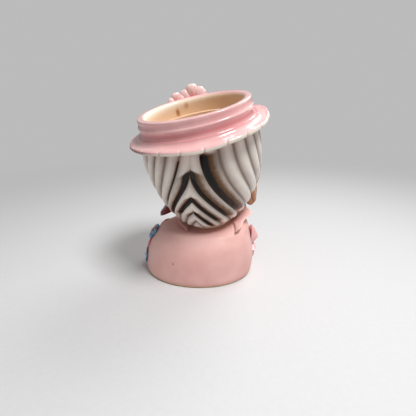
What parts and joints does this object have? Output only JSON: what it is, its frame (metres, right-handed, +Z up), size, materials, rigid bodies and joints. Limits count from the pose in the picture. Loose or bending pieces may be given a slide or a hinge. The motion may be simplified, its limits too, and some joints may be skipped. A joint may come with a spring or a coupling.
{
  "type": "head planter",
  "caption": "Hollow ceramic lady-head planter with a flat-footed bust, fluted hair and an open hat whose crown is the planting mouth.",
  "frame": {"origin": "middle of the flat foot that the planter stands on", "axes": "+Z up from the foot to the hat, -Y the way the face looks, +X the figure's left"},
  "size_m": [0.1079, 0.1027, 0.1554],
  "materials": {
    "hat_glaze": "glossy pink glaze",
    "dress_glaze": "softly glossy pink glaze",
    "bow_glaze": "glossy pink glaze with dark painted edges",
    "hair_glaze": "glossy cream glaze with brown brush strokes",
    "curl_glaze": "glossy brown glaze",
    "skin_glaze": "satin skin-tone glaze with painted features",
    "edging_glaze": "glossy cream glaze",
    "hat_flower_glaze": "glossy pale pink glaze",
    "flower_eye_glaze": "glossy yellow glaze",
    "corsage_glaze": "glossy blue glaze",
    "leaf_glaze": "glossy dark red glaze"
  },
  "bodies": {
    "root": {"bow_knot": "bow_glaze", "bow_loop_inner": "bow_glaze", "bow_loop_outer": "bow_glaze", "bow_tail_inner": "bow_glaze", "bow_tail_outer": "bow_glaze", "brim_edging": "edging_glaze", "bust_shell": "dress_glaze", "collar_left": "dress_glaze", "collar_right": "dress_glaze", "corsage_leaves": "leaf_glaze", "corsage_lower_eye": "flower_eye_glaze", "corsage_lower_petals": "corsage_glaze", "corsage_middle_eye": "flower_eye_glaze", "corsage_middle_petals": "corsage_glaze", "corsage_upper_eye": "flower_eye_glaze", "corsage_upper_petals": "corsage_glaze", "face_shell": "skin_glaze", "fringe_left": "hair_glaze", "fringe_right": "hair_glaze", "hair_shell": "hair_glaze", "hat_blossom_eye": "flower_eye_glaze", "hat_blossom_petals": "hat_flower_glaze", "hat_brim": "hat_glaze", "hat_bud_eye": "flower_eye_glaze", "hat_bud_petals": "hat_flower_glaze", "hat_crown": "hat_glaze", "side_curl_left": "curl_glaze", "side_curl_right": "curl_glaze"}
  },
  "joints": []
}
